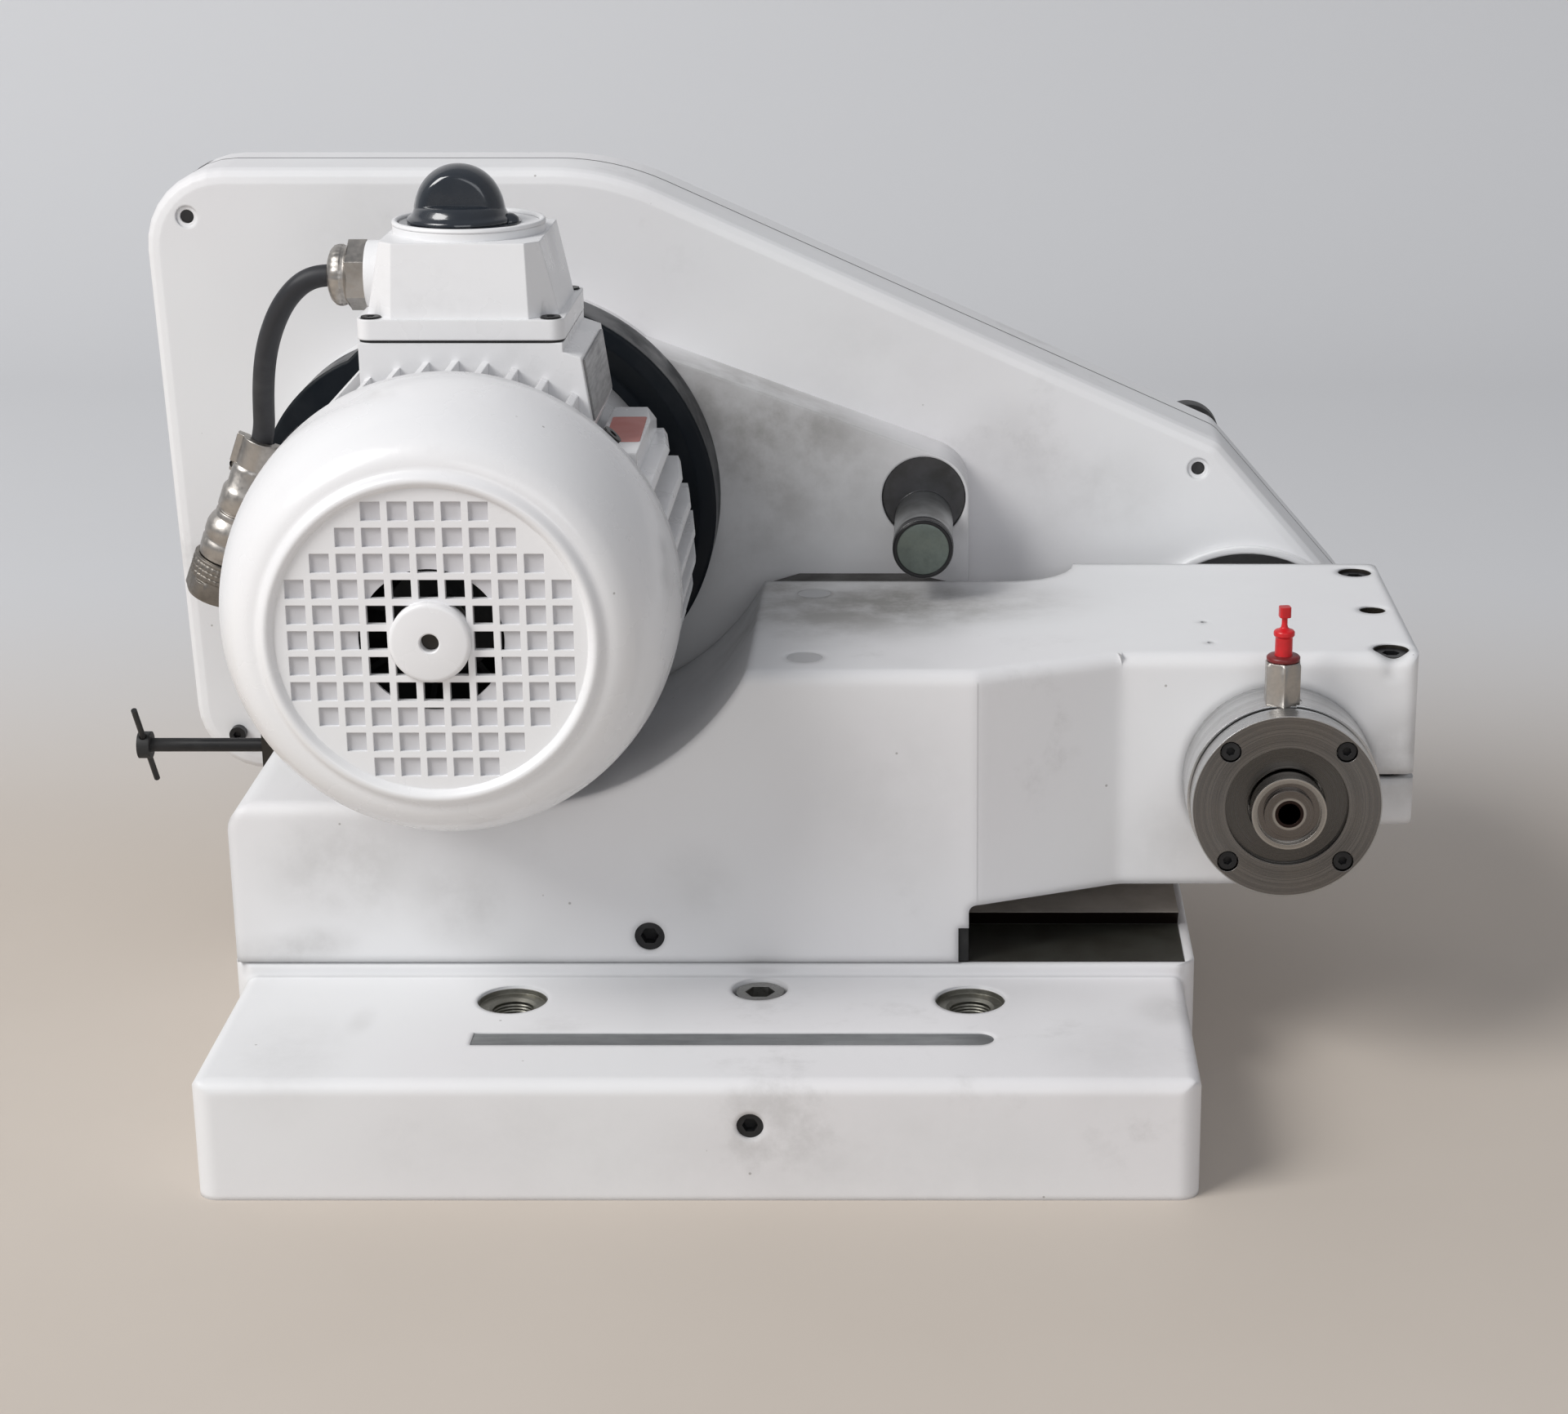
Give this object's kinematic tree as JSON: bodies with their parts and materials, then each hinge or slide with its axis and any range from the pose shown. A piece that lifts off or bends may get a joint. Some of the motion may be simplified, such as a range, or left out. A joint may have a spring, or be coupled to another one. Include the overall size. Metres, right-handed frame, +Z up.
{
  "type": "drill bit sharpener",
  "caption": "belt-driven grinding wheelhead on a dovetail slide, with a flange motor on a sliding bracket, a belt guard, a rotary switch and a split spindle head",
  "frame": {"origin": "middle of the base's underside, halfway along its width and its depth", "axes": "+X to the spindle side along the slideway, +Y from the front of the base to the belt guard, +Z up; both shafts run along Y"},
  "size_m": [0.5109, 0.338, 0.3497],
  "materials": {
    "paint": "satin",
    "motor_paint": "satin",
    "motor_plastic": "satin",
    "oily_iron": "oily",
    "bare_steel": "worn",
    "screw_steel": "worn",
    "black_steel": "black oxide",
    "grey_steel": "matte",
    "turned_steel": "turned",
    "bearing_steel": "ground",
    "nickel": "warm nickel",
    "pulley_alu": "turned",
    "plate_alu": "bare, no lettering",
    "winding": "copper windings and core",
    "rubber": "matte",
    "cable_rubber": "satin",
    "belt_rubber": "matte",
    "blue_black": "gloss",
    "knob_plastic": "gloss",
    "black_plastic": "matte",
    "red_plastic": "satin"
  },
  "bodies": {
    "base": {"base_casting": "paint", "slideway": "oily_iron", "steel_strip": "bare_steel", "base_cap_screw": "screw_steel", "base_set_screw": "black_steel"},
    "carriage": {"carriage_casting": "paint", "gib": "oily_iron", "way_wiper": "rubber", "carriage_lock_screw": "black_steel", "clamp_screws": "black_steel", "jack_screw": "black_steel", "column_plugs": "paint", "bracket_pad": "oily_iron", "screw_block": "oily_iron", "spindle_barrel": "turned_steel", "front_cover": "turned_steel", "cover_screws": "black_steel", "rear_cover": "turned_steel", "bearing_outer_rings": "bearing_steel", "nipple": "nickel", "bracket_screws": "black_steel"},
    "spindle_rotor": {"bearing_inner_rings": "bearing_steel", "bearing_balls": "bearing_steel", "spacer_sleeve": "turned_steel", "spindle_shaft": "turned_steel", "spindle_pulley": "pulley_alu", "spindle_nut": "black_steel"},
    "plug": {"red_plug": "red_plastic"},
    "bracket": {"motor_bracket": "paint", "adapter_ring": "blue_black", "stator_housing": "motor_paint", "end_shields": "motor_paint", "stator_core": "winding", "motor_bearings": "bearing_steel", "fan_cover": "motor_plastic", "fan_cover_screws": "black_steel", "rating_plate": "plate_alu", "terminal_gasket": "rubber", "terminal_lid": "motor_paint", "lid_screws": "black_steel", "switch_body": "black_plastic", "cable_gland": "nickel", "cable": "cable_rubber", "connector": "nickel", "guard_front": "paint", "guard_screw": "black_steel", "belt": "belt_rubber"},
    "motor_rotor": {"rotor": "turned_steel", "motor_pulley": "pulley_alu", "motor_fan": "black_plastic"},
    "tension": {"tension_screw": "black_steel"},
    "tommy": {"tommy_bar": "black_steel"},
    "shifter": {"shifter": "grey_steel", "idler_roller": "pulley_alu"},
    "switch": {"switch_knob": "knob_plastic"},
    "coupling": {"coupling_nut": "nickel"},
    "cover": {"guard_cover": "paint"},
    "knob_a": {"knob_top": "black_plastic"},
    "knob_b": {"knob_right": "black_plastic"},
    "knob_c": {"knob_bottom": "black_plastic"}
  },
  "joints": [
    {"name": "carriage_slide", "type": "slide", "parent": "base", "child": "carriage", "axis": [1, 0, 0], "range_m": [0, 0.08]},
    {"name": "bracket_slide", "type": "slide", "parent": "carriage", "child": "bracket", "axis": [1, 0, 0], "range_m": [0, 0.006], "deforming": ["belt"]},
    {"name": "tension_turn", "type": "hinge", "parent": "bracket", "child": "tension", "pos_m": [-0.2, 0.065, 0.109], "axis": [1, 0, 0], "range_deg": [0, 1440]},
    {"name": "tommy_slide", "type": "slide", "parent": "tension", "child": "tommy", "axis": [0, -0.5736, 0.8192], "range_m": [-0.016, 0.016]},
    {"name": "shifter_turn", "type": "hinge", "parent": "bracket", "child": "shifter", "pos_m": [0.0796, 0.12, 0.2002], "axis": [0, 1, 0], "range_deg": [0, 25]},
    {"name": "motor_spin", "type": "hinge", "parent": "bracket", "child": "motor_rotor", "pos_m": [-0.089, 0, 0.2028], "axis": [0, 1, 0], "continuous": true},
    {"name": "spindle_spin", "type": "hinge", "parent": "carriage", "child": "spindle_rotor", "pos_m": [0.216, 0, 0.1194], "axis": [0, 1, 0], "continuous": true},
    {"name": "switch_turn", "type": "hinge", "parent": "bracket", "child": "switch", "pos_m": [-0.0869, 0.0125, 0.33], "axis": [0, 0, 1], "range_deg": [-60, 60]},
    {"name": "plug_pull", "type": "slide", "parent": "carriage", "child": "plug", "axis": [0, 0, 1], "range_m": [0, 0.012]},
    {"name": "coupling_turn", "type": "hinge", "parent": "bracket", "child": "coupling", "pos_m": [-0.19087, 0.0387, 0.19519], "axis": [-0.3489, 0.0872, -0.9331], "range_deg": [0, 90]},
    {"name": "cover_pull", "type": "slide", "parent": "bracket", "child": "cover", "axis": [0, 1, 0], "range_m": [0, 0.05]},
    {"name": "knob_top_turn", "type": "hinge", "parent": "cover", "child": "knob_a", "pos_m": [-0.2223, 0.19, 0.3116], "axis": [0, 1, 0], "range_deg": [0, 1440]},
    {"name": "knob_right_turn", "type": "hinge", "parent": "cover", "child": "knob_b", "pos_m": [0.1946, 0.19, 0.2059], "axis": [0, 1, 0], "range_deg": [0, 1440]},
    {"name": "knob_bottom_turn", "type": "hinge", "parent": "cover", "child": "knob_c", "pos_m": [-0.1, 0.19, 0.084], "axis": [0, 1, 0], "range_deg": [0, 1440]}
  ],
  "couplings": [
    {"joint": "spindle_spin", "follows": "motor_spin", "ratio": 2.4444},
    {"joint": "tension_turn", "follows": "bracket_slide", "rad_per_m": 4188}
  ]
}
